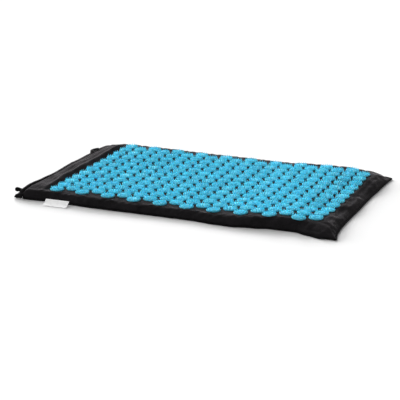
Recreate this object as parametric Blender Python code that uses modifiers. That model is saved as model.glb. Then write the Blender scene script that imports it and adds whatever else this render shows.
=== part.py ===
# Acupressure mat: a foam pad in a zipped cloth cover, with a field of spiked discs on its top.
# Metres, +Z up. +X runs along the mat, away from its zipped end, and +Y away from its labelled side.
# The origin is the middle of the underside, in the plane that the mat rests on.

import math

import bmesh
import bpy
from mathutils import Matrix, Vector

# Fits
gap = 0.0003            # between pieces that lie on or beside each other
sink = 0.0004           # how far a joined shape reaches into its neighbour
slider_ease = 0.0004    # between the zip's slider and what it runs on
weld = 0.00001          # points nearer than this are one

# Disc field
disc_diameter = 0.0278
disc_clearance = 0.0042    # between neighbouring discs
column_count = 20
long_column_discs = 12  # the other columns have one less
disc_plate = 0.0024
disc_sides = 8
spike_rise = 0.0034     # above the plate
spike_foot = 0.0034     # across a spike's foot
spike_count = 3
spike_sides = 3
spike_inset = 0.0056    # from the disc's rim to the middle of a spike
glue_height = 0.0004    # bead of glue that carries a column's discs

# Cover, whose seams stand these margins out from the disc field
near_margin = 0.0177
far_margin = 0.0225
end_margin = 0.0300
zip_margin = 0.0496
cloth = 0.001           # thickness of each panel
seam_ease = 0.0004      # spare height between the two panels at their seam
body_height = 0.0160    # top of the cloth above the floor
near_roll = 0.018       # how far in each side's rounded edge reaches
far_roll = 0.020
end_roll = 0.029
zip_roll = 0.022
ear_reach = 0.008       # how far a corner's ear stands out, each way
ear_spread = 0.018      # how soon the ear fades into the side
crease_pitch = 0.049    # upright creases along the long sides
crease_depth = 0.001
fold_pitch = 0.078      # softer folds across the end without the zip
fold_depth = 0.0014

# The cover's rings, from its seam inwards: how far in and how high each one lies, as shares
ring_in_shares = (0, 0.12, 0.30, 0.58, 1)
ring_rise_shares = (0, 0.34, 0.68, 0.92, 1)
zip_rise_shares = (0.79, 0.86, 0.93, 0.98, 1)
crease_shares = (0, 0.7, 1, 0.4, 0)
cover_cells_x = 36
cover_cells_y = 16
foam_cells_x = 8
foam_cells_y = 5

# Seam roll that closes the two panels' edges
seam_roll_radius = 0.0015

# Zip across the left end
zip_height_share = 0.425    # of the body's height, up to the zip's middle line
zip_corner = 0.030      # from each of the cover's sides to the rows of teeth
tape_thickness = 0.0006
tape_inset = 0.0032     # from the cover's end to the tape's middle
tape_spare = 0.003      # how far the tape runs past the teeth
row_gap = 0.001         # between the two rows of teeth
row_height = 0.002
row_depth = 0.0016
stop_length = 0.0024
flap_width = 0.0078     # lip of cloth over the zip
flap_thickness = 0.0012
flap_cells = 2

# Slider and its pull
slider_length = 0.011
slider_plate = 0.0009
slider_wall = 0.0007
slider_park = 0.001     # between the parked slider and the end of the teeth
slider_sides = 8
slider_lip = 0.0003     # of the front plate past its flanges
slider_flange_share = 0.38
divider_width = 0.0004
divider_length = 0.002
bail_width = 0.0018
bail_bar = 0.001
bail_leg = 0.0009
bail_leg_width = 0.0016
bail_length = 0.007
bail_hole = 0.0026
link_wire = 0.0006      # radius
link_length = 0.0077
link_width = 0.0048
link_corner = 0.0012
cord_radius = 0.0009
cord_run = 0.0055       # from the link's bar to the knob
cord_turn_steps = 6
knob_length = 0.0155
knob_radius = 0.0044
knob_neck_radius = 0.0031
knob_sides = 12
knob_shares = ((0, 1), (0.55, 0.97), (0.86, 0.86), (1, 0.66), (0.98, 0.44), (0.82, 0.2))

# Hanging loop, sewn to the lip
loop_corner = 0.079     # from the cover's far side to the loop's middle
loop_span = 0.026
loop_reach = 0.0145
loop_webbing = 0.0065   # width of the webbing, which stands on its edge
loop_thickness = 0.0012
loop_steps = 10
loop_bow_power = 0.6    # below 1 it fills the bow's shoulders

# Side label, bare
label_corner = 0.057    # from the cover's zipped end to the label
label_width = 0.050
label_root_height = 0.0066
label_reach = 0.0245
label_skew = 0.0055
label_thickness = 0.0007
label_root_ease = 0.0008
label_fall_power = 1.5  # above 1 it flattens the foot
label_cells = 4

# Angle below which two faces count as flat
flat_angle = math.radians(0.5)
smooth_angle = math.radians(40)

pitch = disc_diameter + disc_clearance
column_pitch = pitch * math.sin(math.radians(60))
cover_length = (column_count - 1) * column_pitch + disc_diameter + zip_margin + end_margin
cover_width = (long_column_discs - 1) * pitch + disc_diameter + near_margin + far_margin
field_shift_x = (zip_margin - end_margin) / 2
field_shift_y = (near_margin - far_margin) / 2
disc_radius = disc_diameter / 2
spike_ring_radius = disc_radius - spike_inset
corner_radius = disc_radius * math.sqrt(math.tau / (disc_sides * math.sin(math.tau / disc_sides)))
seam_height = cloth + gap + cloth + seam_ease
field_height = body_height + gap
left_end = -cover_length / 2
zip_length = cover_width - zip_corner - zip_corner
zip_height = body_height * zip_height_share
zip_line_x = left_end + tape_inset
tape_front_x = zip_line_x - tape_thickness / 2
tape_back_x = zip_line_x + tape_thickness / 2
row_back_x = tape_front_x - gap
row_front_x = row_back_x - row_depth
plate_back_x = row_front_x - slider_ease
plate_front_x = plate_back_x - slider_plate
back_plate_x = tape_back_x + slider_ease
back_plate_end_x = back_plate_x + slider_wall
pivot_x = plate_front_x - bail_hole / 2
slider_y = -zip_length / 2 + slider_park + slider_length / 2
row_edge = row_gap / 2 + row_height
flange_inner = row_edge + slider_ease
flange_outer = flange_inner + slider_wall


def start_scene(name):
    for item in list(bpy.data.objects):
        bpy.data.objects.remove(item, do_unlink=True)
    parts = bpy.data.collections.new(name)
    cutters = bpy.data.collections.new(name + "_cutters")
    bpy.context.scene.collection.children.link(parts)
    bpy.context.scene.collection.children.link(cutters)
    return parts, cutters


def material(name, colour, roughness, metallic=0):
    made = bpy.data.materials.new(name)
    made.use_nodes = True
    shader = made.node_tree.nodes["Principled BSDF"]
    shader.inputs["Base Color"].default_value = (*colour, 1)
    shader.inputs["Roughness"].default_value = roughness
    shader.inputs["Metallic"].default_value = metallic
    return made


def place(name, data, finish, parent=None, at=(0, 0, 0), collection=None):
    item = bpy.data.objects.new(name, data)
    (collection or parts).objects.link(item)
    if finish is not None and not data.materials:
        data.materials.append(finish)
    item.location = at
    if parent is not None:
        item.parent = parent
    return item


def mesh_from(bm, name):
    mesh = bpy.data.meshes.new(name)
    bmesh.ops.recalc_face_normals(bm, faces=bm.faces)
    bm.to_mesh(mesh)
    bm.free()
    return mesh


def block(name, low, high, finish, parent=None, at=(0, 0, 0), collection=None):
    # A box between two corners, given from the object's own origin
    size = Vector(high) - Vector(low)
    middle = (Vector(high) + Vector(low)) / 2
    bm = bmesh.new()
    bmesh.ops.create_cube(bm, size=1, matrix=Matrix.Translation(middle) @ Matrix.Diagonal((*size, 1)))
    return place(name, mesh_from(bm, name), finish, parent, at, collection)


def join(item, shape):
    shape.hide_render = True
    shape.display_type = "WIRE"
    union = item.modifiers.new("join " + shape.name, "BOOLEAN")
    union.operation = "UNION"
    union.solver = "EXACT"
    union.object = shape


def thicken(item, thickness):
    # The modelled surface stays the outer one
    wall = item.modifiers.new("cloth", "SOLIDIFY")
    wall.thickness = thickness
    wall.offset = -1
    wall.use_even_offset = True


def line_places(low, high, low_roll, high_roll, cells):
    start = [low + low_roll * share for share in ring_in_shares]
    end = [high - high_roll * share for share in reversed(ring_in_shares)]
    step = (end[0] - start[-1]) / cells
    return start + [start[-1] + step * n for n in range(1, cells)] + end


def line_rises(low_shares, high_shares, cells):
    return list(low_shares) + [1] * (cells - 1) + list(reversed(high_shares))


def line_bells(cells):
    return list(crease_shares) + [0] * (cells - 1) + list(reversed(crease_shares))


def pucker(place_along, spacing):
    # 0 at the crest between two creases and -1 at the bottom of a crease
    return (math.cos(math.tau * place_along / spacing) - 1) / 2


def side(value):
    return -1 if value < 0 else 1


def cushion_points(left, right, near, far, base, top, x_cells, y_cells, sewn):
    # The padded top surface as rows of points: a flat middle whose edges roll down to the seam.
    # A sewn one has its ears, creases and folds
    xs = line_places(left, right, zip_roll, end_roll, x_cells)
    ys = line_places(near, far, near_roll, far_roll, y_cells)
    x_rises = line_rises(zip_rise_shares, ring_rise_shares, x_cells)
    y_rises = line_rises(ring_rise_shares, ring_rise_shares, y_cells)
    x_bells = line_bells(x_cells)
    y_bells = line_bells(y_cells)
    rows = []
    for x, x_rise, x_bell in zip(xs, x_rises, x_bells):
        row = []
        for y, y_rise, y_bell in zip(ys, y_rises, y_bells):
            fall = math.hypot(1 - x_rise, 1 - y_rise)
            height = base + (top - base) * max(0, 1 - fall)
            point = Vector((x, y, height))
            if sewn:
                corner = min(x - left, right - x) + min(y - near, far - y)
                ear = ear_reach * math.exp(-corner / ear_spread)
                point.x += side(x) * ear
                point.y += side(y) * (ear + crease_depth * y_bell * pucker(x, crease_pitch))
                if x > 0:
                    point.x += fold_depth * x_bell * pucker(y, fold_pitch)
            row.append(point)
        rows.append(row)
    return rows


def grid_from(rows):
    # A grid primitive with its points moved to the rows' places
    x_cells = len(rows) - 1
    y_cells = len(rows[0]) - 1
    bm = bmesh.new()
    bmesh.ops.create_grid(bm, x_segments=x_cells, y_segments=y_cells, size=1)
    for vert in bm.verts:
        i = round((vert.co.x + 1) / 2 * x_cells)
        j = round((vert.co.y + 1) / 2 * y_cells)
        vert.co = rows[i][j]
    return bm


def merge_flat_middle(bm, height):
    flat = [face for face in bm.faces if all(abs(vert.co.z - height) < gap for vert in face.verts)]
    bmesh.ops.dissolve_faces(bm, faces=flat, use_verts=False)


def seam_line(rows):
    # The panels' seam from the near left corner, round the near side, the end and the far side
    return [row[0] for row in rows] + rows[-1][1:-1] + [row[-1] for row in reversed(rows)]


def offset_line(points, distance):
    # The same line moved sideways, outwards for a line that runs anticlockwise, with mitred corners
    moved = []
    for n, point in enumerate(points):
        before = points[max(n - 1, 0)]
        after = points[min(n + 1, len(points) - 1)]
        came = (point - before).to_2d() if n > 0 else (after - point).to_2d()
        goes = (after - point).to_2d() if n < len(points) - 1 else came
        out_before = Vector((came.y, -came.x)).normalized()
        out_after = Vector((goes.y, -goes.x)).normalized()
        mitre = (out_before + out_after) / (1 + out_before.dot(out_after))
        moved.append(point + mitre.to_3d() * distance)
    return moved


def poly_curve(name, points, radius=0, resolution=1, cyclic=False):
    curve = bpy.data.curves.new(name, "CURVE")
    curve.dimensions = "3D"
    spline = curve.splines.new("POLY")
    spline.points.add(len(points) - 1)
    for spot, point in zip(spline.points, points):
        spot.co = (*point, 1)
    spline.use_cyclic_u = cyclic
    curve.bevel_depth = radius
    curve.bevel_resolution = resolution
    curve.use_fill_caps = not cyclic
    return curve


def flat_plate(name, outline, thickness):
    # A flat outline in X and Y, with its thickness up and down from the middle
    curve = poly_curve(name, [(x, y, 0) for x, y in outline], cyclic=True)
    curve.dimensions = "2D"
    curve.fill_mode = "BOTH"
    curve.extrude = thickness / 2
    return curve


def make_cover():
    rows = cushion_points(left_end, -left_end, -cover_width / 2, cover_width / 2,
                          seam_height, body_height, cover_cells_x, cover_cells_y, True)
    bm = grid_from(rows)
    merge_flat_middle(bm, body_height)
    top = place("cover_top_panel", mesh_from(bm, "cover_top_panel"), black_cotton)
    top.data.shade_smooth()
    top.data.set_sharp_from_angle(angle=smooth_angle)
    thicken(top, cloth)

    outline = seam_line(rows)
    outline += list(reversed(rows[0][1:-1]))
    plate = flat_plate("cover_bottom_panel", [point.to_2d() for point in outline], cloth)
    place("cover_bottom_panel", plate, black_lining, at=(0, 0, cloth / 2))

    roll_line = offset_line(seam_line(rows), seam_roll_radius + gap)
    roll_height = seam_roll_radius + gap
    roll_points = [(point.x, point.y, roll_height) for point in roll_line]
    place("seam_roll", poly_curve("seam_roll", roll_points, seam_roll_radius), black_binding)
    return rows


def make_foam():
    # The pad follows the cover's inside, a cloth, a gap and a crease away from its outside
    side_ease = cloth + gap + crease_depth + fold_depth
    end_x = back_plate_end_x + slider_ease
    left = end_x - zip_roll * ring_in_shares[1]
    rows = cushion_points(left, -left_end - side_ease,
                          side_ease - cover_width / 2, cover_width / 2 - side_ease,
                          seam_height - cloth - gap, body_height - cloth - gap,
                          foam_cells_x, foam_cells_y, False)
    rows = [row[1:-1] for row in rows[1:-1]]
    bm = grid_from(rows)
    merge_flat_middle(bm, body_height - cloth - gap)
    rim = [edge for edge in bm.edges if edge.is_boundary]
    made = bmesh.ops.extrude_edge_only(bm, edges=rim)["geom"]
    for item in made:
        if isinstance(item, bmesh.types.BMVert):
            item.co.z = cloth + gap
    foot = [edge for edge in bm.edges if edge.is_boundary]
    bmesh.ops.edgeloop_fill(bm, edges=foot)
    place("foam_core", mesh_from(bm, "foam_core"), grey_foam)


def disc_places(count):
    return [(n - (count - 1) / 2) * pitch for n in range(count)]


def column_plates(count):
    # The discs of one column and the glue bead between them, as one flat-sided body
    bm = bmesh.new()
    half_side = math.pi / disc_sides
    discs = []
    for y in disc_places(count):
        turn = Matrix.Translation((0, y, 0)) @ Matrix.Rotation(half_side, 4, "Z")
        made = bmesh.ops.create_circle(bm, cap_ends=True, segments=disc_sides,
                                       radius=corner_radius, matrix=turn)
        discs.append(made["verts"][0].link_faces[0])
    for near, far in zip(discs, discs[1:]):
        far_edge = max(near.edges, key=lambda edge: (edge.verts[0].co + edge.verts[1].co).y)
        near_edge = min(far.edges, key=lambda edge: (edge.verts[0].co + edge.verts[1].co).y)
        bmesh.ops.contextual_create(bm, geom=[far_edge, near_edge])
    bmesh.ops.recalc_face_normals(bm, faces=bm.faces)
    whole = bmesh.ops.extrude_face_region(bm, geom=list(bm.faces), use_keep_orig=True)["geom"]
    for item in whole:
        if isinstance(item, bmesh.types.BMVert):
            item.co.z += glue_height
    tops = [item for item in whole if isinstance(item, bmesh.types.BMFace) and len(item.verts) > 4]
    for face in bmesh.ops.extrude_discrete_faces(bm, faces=tops)["faces"]:
        for vert in face.verts:
            vert.co.z += disc_plate - glue_height
    bmesh.ops.recalc_face_normals(bm, faces=bm.faces)
    bmesh.ops.dissolve_limit(bm, angle_limit=flat_angle, verts=bm.verts, edges=bm.edges)
    return bm


def column_spikes(count):
    bm = bmesh.new()
    height = spike_rise + sink
    for y in disc_places(count):
        for n in range(spike_count):
            angle = math.tau * n / spike_count
            spot = Vector((math.cos(angle) * spike_ring_radius, y + math.sin(angle) * spike_ring_radius,
                           disc_plate - sink + height / 2))
            bmesh.ops.create_cone(bm, cap_ends=True, segments=spike_sides, radius1=spike_foot / 2,
                                  radius2=0, depth=height, matrix=Matrix.Translation(spot))
    bmesh.ops.remove_doubles(bm, verts=bm.verts, dist=weld)
    return bm


def column_mesh(count):
    # One column's finished mesh, read from a plate with its spikes joined on
    name = "disc_column_of_" + str(count)
    plates = place(name, mesh_from(column_plates(count), name), blue_plastic)
    spikes = place(name + "_spikes", mesh_from(column_spikes(count), name + "_spikes"), None,
                   collection=cutters)
    join(plates, spikes)
    bpy.context.view_layer.update()
    ready = plates.evaluated_get(bpy.context.evaluated_depsgraph_get())
    mesh = bpy.data.meshes.new_from_object(ready)
    bpy.data.objects.remove(plates, do_unlink=True)
    bpy.data.objects.remove(spikes, do_unlink=True)
    return mesh


def make_discs():
    long_mesh = column_mesh(long_column_discs)
    short_mesh = column_mesh(long_column_discs - 1)
    for n in range(column_count):
        x = field_shift_x + (n - (column_count - 1) / 2) * column_pitch
        mesh = short_mesh if n % 2 else long_mesh
        place("disc_column_%02d" % (n + 1), mesh, blue_plastic, at=(x, field_shift_y, field_height))


def make_zip(rows):
    half = zip_length / 2
    tape_half = half + tape_spare
    line = (zip_line_x, 0, zip_height)
    tape_top = seam_height + (body_height - seam_height) * zip_rise_shares[0] - cloth - gap
    back = tape_thickness / 2
    block("zip_tape_upper", (-back, -tape_half, row_gap / 2), (back, tape_half, tape_top - zip_height),
          black_tape, at=line)
    block("zip_tape_lower", (-back, -tape_half, cloth + gap - zip_height), (back, tape_half, -row_gap / 2),
          black_tape, at=line)
    row_front = row_front_x - zip_line_x
    row_back = row_back_x - zip_line_x
    block("zip_teeth_upper", (row_front, -half, row_gap / 2), (row_back, half, row_edge),
          black_nylon, at=line)
    block("zip_teeth_lower", (row_front, -half, -row_edge), (row_back, half, -row_gap / 2),
          black_nylon, at=line)
    for name, end in (("zip_stop_near", -half - gap - stop_length), ("zip_stop_far", half + gap)):
        block(name, (row_front, end, -row_edge), (row_back, end + stop_length, row_edge),
              black_metal, at=line)

    # The lip grows from the top panel's free edge and tapers into the two ears
    edge = rows[0]
    last = len(edge) - 2
    flap_rows = []
    for n in range(flap_cells + 1):
        share = n / flap_cells
        flap_rows.append([])
        for j in range(1, last + 1):
            end_share = min(1, (min(j, last + 1 - j) + 1) / len(ring_in_shares))
            reach = gap + flap_width * end_share * share
            flap_rows[-1].append(edge[j] - Vector((reach, 0, 0)))
    flap_rows.reverse()
    flap = place("zip_flap", mesh_from(grid_from(flap_rows), "zip_flap"), black_cotton)
    thicken(flap, flap_thickness)


def slider_plate_mesh(name, half_length, half_height):
    # The front plate, with its corners cut off
    half_side = math.pi / slider_sides
    size = Matrix.Diagonal((slider_plate, half_length, half_height, 1))
    turn = Matrix.Rotation(math.pi / 2, 4, "Y") @ Matrix.Rotation(half_side, 4, "Z")
    bm = bmesh.new()
    bmesh.ops.create_cone(bm, cap_ends=True, segments=slider_sides, radius1=1 / math.cos(half_side),
                          radius2=1 / math.cos(half_side), depth=1,
                          matrix=Matrix.Translation((-slider_plate / 2, 0, 0)) @ size @ turn)
    return mesh_from(bm, name)


def make_slider():
    # The slider's empty sits where its front plate faces the teeth, on the zip's middle line
    half = slider_length / 2
    front = -slider_plate
    back = back_plate_x - plate_back_x
    flange_length = half * slider_flange_share
    flange_end = row_back_x - plate_back_x - slider_ease / 2
    bar_back = front - bail_hole
    bail_half = bail_length / 2
    leg_end = bail_half - sink
    carrier = place("slider_frame", None, None, at=(plate_back_x, slider_y, zip_height))
    slider = place("zip_slider", slider_plate_mesh("zip_slider", half, flange_outer + slider_lip),
                   black_metal, carrier)
    shapes = (
        ("upper_flange", (front / 2, -flange_length, flange_inner),
         (flange_end, flange_length, flange_outer)),
        ("lower_flange", (front / 2, -flange_length, -flange_outer),
         (flange_end, flange_length, -flange_inner)),
        ("divider", (front / 2, -divider_length / 2, -divider_width / 2),
         (back + slider_wall / 2, divider_length / 2, divider_width / 2)),
        ("back_plate", (back, -flange_length, -row_edge), (back + slider_wall, flange_length, row_edge)),
        ("bail_bar", (bar_back - bail_bar, -bail_half, -bail_width / 2),
         (bar_back, bail_half, bail_width / 2)),
        ("near_bail_leg", (bar_back - bail_bar / 2, -leg_end, -bail_leg_width / 2),
         (front / 2, bail_leg - leg_end, bail_leg_width / 2)),
        ("far_bail_leg", (bar_back - bail_bar / 2, leg_end - bail_leg, -bail_leg_width / 2),
         (front / 2, leg_end, bail_leg_width / 2)),
    )
    for name, low, high in shapes:
        join(slider, block("slider_" + name, low, high, None, carrier, collection=cutters))


def link_points():
    # A rounded rectangle in X and Z: its pin on the hinge axis, its end bar away from the mat
    half = link_width / 2 - link_corner
    points = []
    for x, z, start in ((-link_corner, half, 0), (-link_length + link_corner, half, 90),
                        (-link_length + link_corner, -half, 180), (-link_corner, -half, 270)):
        for step in (0, 45, 90):
            angle = math.radians(start + step)
            points.append((x + math.cos(angle) * link_corner, 0, z + math.sin(angle) * link_corner))
    return points


def make_pull():
    # The pull's empty sits on its hinge axis
    pivot = place("pull_frame", None, None, at=(pivot_x, slider_y, zip_height))
    place("zip_pull_link", poly_curve("zip_pull_link", link_points(), link_wire, cyclic=True),
          black_metal, pivot)
    turn = link_wire + gap + cord_radius
    end = -link_length - cord_run
    points = [(end, turn, 0)]
    for n in range(cord_turn_steps + 1):
        angle = math.pi / 2 - math.pi * n / cord_turn_steps
        points.append((-link_length + math.cos(angle) * turn, math.sin(angle) * turn, 0))
    points.append((end, -turn, 0))
    place("zip_pull_cord", poly_curve("zip_pull_cord", points, cord_radius), black_cord, pivot)

    # The knob is turned about its length, which lies along -X
    curve_points = [(knob_radius * across, 0, knob_length * along) for across, along in knob_shares]
    curve_points.append((knob_neck_radius, 0, 0))
    curve_points.append((0, 0, 0))
    mesh = bpy.data.meshes.new("zip_pull_knob")
    steps = [(n, n + 1) for n in range(len(curve_points) - 1)]
    mesh.from_pydata(curve_points, steps, [])
    knob = place("zip_pull_knob", mesh, black_rubber, pivot, at=(end - gap, 0, 0))
    knob.rotation_euler = (0, -math.pi / 2, 0)
    turned = knob.modifiers.new("turned", "SCREW")
    turned.axis = "Z"
    turned.steps = knob_sides
    turned.render_steps = knob_sides
    turned.use_merge_vertices = True
    turned.merge_threshold = weld
    turned.use_smooth_shade = True


def make_loop():
    # A strip of webbing on its edge, bowed out from the lip and sewn down at both ends
    lip_top = seam_height + (body_height - seam_height) * zip_rise_shares[0] + gap
    lift = lip_top + loop_webbing / 2
    root_x = left_end - gap - loop_thickness
    middle_y = cover_width / 2 - loop_corner
    points = []
    for n in range(loop_steps + 1):
        angle = math.pi * n / loop_steps
        bow = math.sin(angle) ** loop_bow_power
        points.append((root_x - (loop_reach - loop_thickness) * bow,
                       middle_y - loop_span / 2 * math.cos(angle), lift))
    curve = poly_curve("hang_loop", points)
    curve.extrude = loop_webbing / 2
    curve.use_fill_caps = False
    loop = place("hang_loop", curve, black_webbing)
    wall = loop.modifiers.new("webbing", "SOLIDIFY")
    wall.thickness = loop_thickness
    wall.offset = 0
    wall.use_even_offset = True


def make_label():
    # A bare strip of woven ribbon that leaves the near side's wall and comes down to the floor
    wall_rise = (body_height - seam_height) * ring_rise_shares[1]
    wall_share = (label_root_height - seam_height) / wall_rise
    wall_y = near_roll * ring_in_shares[1] * wall_share - cover_width / 2
    root_y = wall_y - label_root_ease
    foot_height = label_thickness + gap
    rows = []
    for n in range(label_cells + 1):
        x = left_end + label_corner + label_width * n / label_cells
        row = []
        for step in range(label_cells + 1):
            share = step / label_cells
            height = foot_height + (label_root_height - foot_height) * (1 - share) ** label_fall_power
            row.append(Vector((x + label_skew * share, root_y - label_reach * share, height)))
        rows.append(list(reversed(row)))
    label = place("side_label", mesh_from(grid_from(rows), "side_label"), white_ribbon)
    thicken(label, label_thickness)


parts, cutters = start_scene("acupressure_mat")
black_cotton = material("black cotton", (0.028, 0.027, 0.028), 0.85)
black_lining = material("black cotton lining", (0.022, 0.021, 0.022), 0.9)
black_binding = material("black cotton binding", (0.018, 0.017, 0.018), 0.85)
black_tape = material("black woven tape", (0.016, 0.016, 0.017), 0.8)
black_webbing = material("black webbing", (0.02, 0.02, 0.021), 0.75)
black_nylon = material("black nylon", (0.012, 0.012, 0.013), 0.45)
black_metal = material("black enamelled metal", (0.014, 0.014, 0.015), 0.35, 0.6)
black_cord = material("black braided cord", (0.018, 0.018, 0.019), 0.8)
black_rubber = material("black soft rubber", (0.013, 0.013, 0.014), 0.6)
blue_plastic = material("sky blue ABS", (0.075, 0.43, 0.62), 0.38)
grey_foam = material("grey polyurethane foam", (0.30, 0.31, 0.32), 0.95)
white_ribbon = material("white satin ribbon", (0.82, 0.82, 0.82), 0.55)

cover_rows = make_cover()
make_foam()
make_discs()
make_zip(cover_rows)
make_slider()
make_pull()
make_loop()
make_label()
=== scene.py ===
import math
import random

import bmesh
import bpy
from mathutils import Matrix, Vector, noise


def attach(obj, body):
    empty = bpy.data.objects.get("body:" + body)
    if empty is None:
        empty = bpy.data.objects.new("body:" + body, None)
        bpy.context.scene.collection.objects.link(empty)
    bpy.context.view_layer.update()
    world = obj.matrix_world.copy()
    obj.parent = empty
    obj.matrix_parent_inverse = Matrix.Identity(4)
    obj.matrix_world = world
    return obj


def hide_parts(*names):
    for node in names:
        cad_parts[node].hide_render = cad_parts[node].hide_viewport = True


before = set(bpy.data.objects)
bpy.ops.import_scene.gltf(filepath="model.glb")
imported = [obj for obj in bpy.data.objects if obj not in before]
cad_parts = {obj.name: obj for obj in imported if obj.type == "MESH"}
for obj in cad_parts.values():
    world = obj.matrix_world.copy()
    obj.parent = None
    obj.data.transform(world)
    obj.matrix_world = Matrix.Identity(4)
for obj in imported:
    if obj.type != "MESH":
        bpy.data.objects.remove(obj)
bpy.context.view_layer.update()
print("frame loaded")


def hexColour(text):
    # sRGB hex to the linear values that a shader takes
    shares = [int(text[n:n + 2], 16) / 255 for n in (1, 3, 5)]
    return (*[c / 12.92 if c <= 0.04045 else ((c + 0.055) / 1.055) ** 2.4 for c in shares], 1)


def addNode(tree, kind, values=None, **settings):
    # a value that is a socket is linked, anything else is set
    node = tree.nodes.new(kind)
    for name, value in settings.items():
        setattr(node, name, value)
    for name, value in (values or {}).items():
        if isinstance(value, bpy.types.NodeSocket):
            tree.links.new(value, node.inputs[name])
        else:
            node.inputs[name].default_value = value
    return node


def startMaterial(name):
    made = bpy.data.materials.new(name)
    made.use_nodes = True
    return made, made.node_tree, made.node_tree.nodes["Principled BSDF"]


def pickNothing():
    if bpy.context.object and bpy.context.object.mode != "OBJECT":
        bpy.ops.object.mode_set(mode="OBJECT")
    bpy.ops.object.select_all(action="DESELECT")


def pickOnly(piece):
    pickNothing()
    bpy.context.view_layer.objects.active = piece
    piece.select_set(True)


def applyAll(piece):
    # applies the modifiers in order, then puts the piece's place into its mesh
    pickOnly(piece)
    for modifier in list(piece.modifiers):
        bpy.ops.object.modifier_apply(modifier=modifier.name)
    bpy.ops.object.transform_apply(location=True, rotation=True, scale=True)


def smoothPiece(piece, degrees=35):
    pickOnly(piece)
    bpy.ops.object.shade_smooth_by_angle(angle=math.radians(degrees))


def finishPiece(piece, name, finish, body, slot, *nodes):
    piece.name = name
    piece.data.name = name
    piece.data.materials.clear()
    piece.data.materials.append(finish)
    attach(piece, body)
    if nodes:
        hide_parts(*nodes)


def joinPieces(pieces):
    pickNothing()
    for piece in pieces:
        piece.select_set(True)
    bpy.context.view_layer.objects.active = pieces[0]
    bpy.ops.object.join()
    return bpy.context.object


def copyPiece(pattern, place):
    # a copy with its own mesh, put where the matrix says
    copy = bpy.data.objects.new(pattern.name, pattern.data.copy())
    bpy.context.collection.objects.link(copy)
    copy.matrix_world = place
    return copy


def pickVerts(piece, wanted):
    # in edit mode, selects just the points whose place passes the test
    mesh = bmesh.from_edit_mesh(piece.data)
    bpy.ops.mesh.select_mode(type="VERT")
    bpy.ops.mesh.select_all(action="DESELECT")
    for vert in mesh.verts:
        vert.select_set(wanted(vert.co))
    mesh.select_flush_mode()
    bmesh.update_edit_mesh(piece.data)


def ease(share):
    share = min(1.0, max(0.0, share))
    return share * share * (3 - 2 * share)


def hump(at, middle, width):
    return math.exp(-((at - middle) / width) ** 2)


def waver(x, y, z):
    # smooth noise round 0, the same at the same place
    return noise.noise(Vector((x, y, z)))


def readTable(table, at):
    # eased in-between values of a short table of (place, value), where a value may be a vector
    spots = [(place, Vector(value) if isinstance(value, tuple) else value) for place, value in table]
    if at <= spots[0][0]:
        return spots[0][1]
    for (a, low), (b, high) in zip(spots, spots[1:]):
        if at <= b:
            return low + (high - low) * ease((at - a) / (b - a))
    return spots[-1][1]


def cottonMaterial(name, thread, dark, pale, sheen, gloss=0.06, bloom="#c9c4c8", paintedGlow=0.0):
    # Dyed plain-weave cotton: matte and nearly black, with a soft grey bloom at glancing angles.
    # The real threads are 0.4 mm apart; they are drawn coarser here, as thread says, to be seen.
    # With full gloss, a white bloom and a painted glow the same weave is the label's satin
    made, tree, shader = startMaterial(name)
    uv = addNode(tree, "ShaderNodeUVMap", uv_map="cloth")
    split = addNode(tree, "ShaderNodeSeparateXYZ", {0: uv.outputs[0]})
    waves = []
    for way in (0, 1):   # warp, then weft
        angle = addNode(tree, "ShaderNodeMath", {0: split.outputs[way], 1: math.tau / thread},
                        operation="MULTIPLY")
        waves.append(addNode(tree, "ShaderNodeMath", {0: angle.outputs[0]}, operation="SINE"))
    weave = addNode(tree, "ShaderNodeMath", {0: waves[0].outputs[0], 1: waves[1].outputs[0]},
                    operation="MULTIPLY")
    place = addNode(tree, "ShaderNodeTexCoord")
    # slubs 26 mm long, and lint of about 1 mm
    slub = addNode(tree, "ShaderNodeTexNoise", {"Vector": place.outputs["Object"], "Scale": 38.0,
                                                "Detail": 5.0, "Roughness": 0.62})
    lint = addNode(tree, "ShaderNodeTexNoise", {"Vector": place.outputs["Object"], "Scale": 900.0,
                                                "Detail": 2.0})
    slubShare = addNode(tree, "ShaderNodeMath", {0: slub.outputs[0], 1: 0.75}, operation="MULTIPLY")
    grain = addNode(tree, "ShaderNodeMath", {0: lint.outputs[0], 1: 0.25, 2: slubShare.outputs[0]},
                    operation="MULTIPLY_ADD")
    tone = addNode(tree, "ShaderNodeMapRange", {0: grain.outputs[0], 1: 0.36, 2: 0.64})
    colour = addNode(tree, "ShaderNodeMix", {0: tone.outputs[0], 6: hexColour(dark),
                                             7: hexColour(pale)}, data_type="RGBA")
    tree.links.new(colour.outputs[2], shader.inputs["Base Color"])
    height = addNode(tree, "ShaderNodeMath", {0: weave.outputs[0], 1: 0.5, 2: lint.outputs[0]},
                     operation="MULTIPLY_ADD")
    bump = addNode(tree, "ShaderNodeBump", {"Height": height.outputs[0], "Strength": 0.35,
                                            "Distance": 0.00025})
    tree.links.new(bump.outputs[0], shader.inputs["Normal"])
    shader.inputs["Roughness"].default_value = 0.9 - 0.6 * gloss
    shader.inputs["Specular IOR Level"].default_value = gloss
    shader.inputs["Sheen Weight"].default_value = sheen
    shader.inputs["Sheen Roughness"].default_value = 0.22
    shader.inputs["Sheen Tint"].default_value = hexColour(bloom)
    # Painted light: the cloth glows a little in its pale tone, which lifts it brighter than its lamps
    # light it
    shader.inputs["Emission Color"].default_value = hexColour(pale)
    shader.inputs["Emission Strength"].default_value = paintedGlow
    return made


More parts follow.
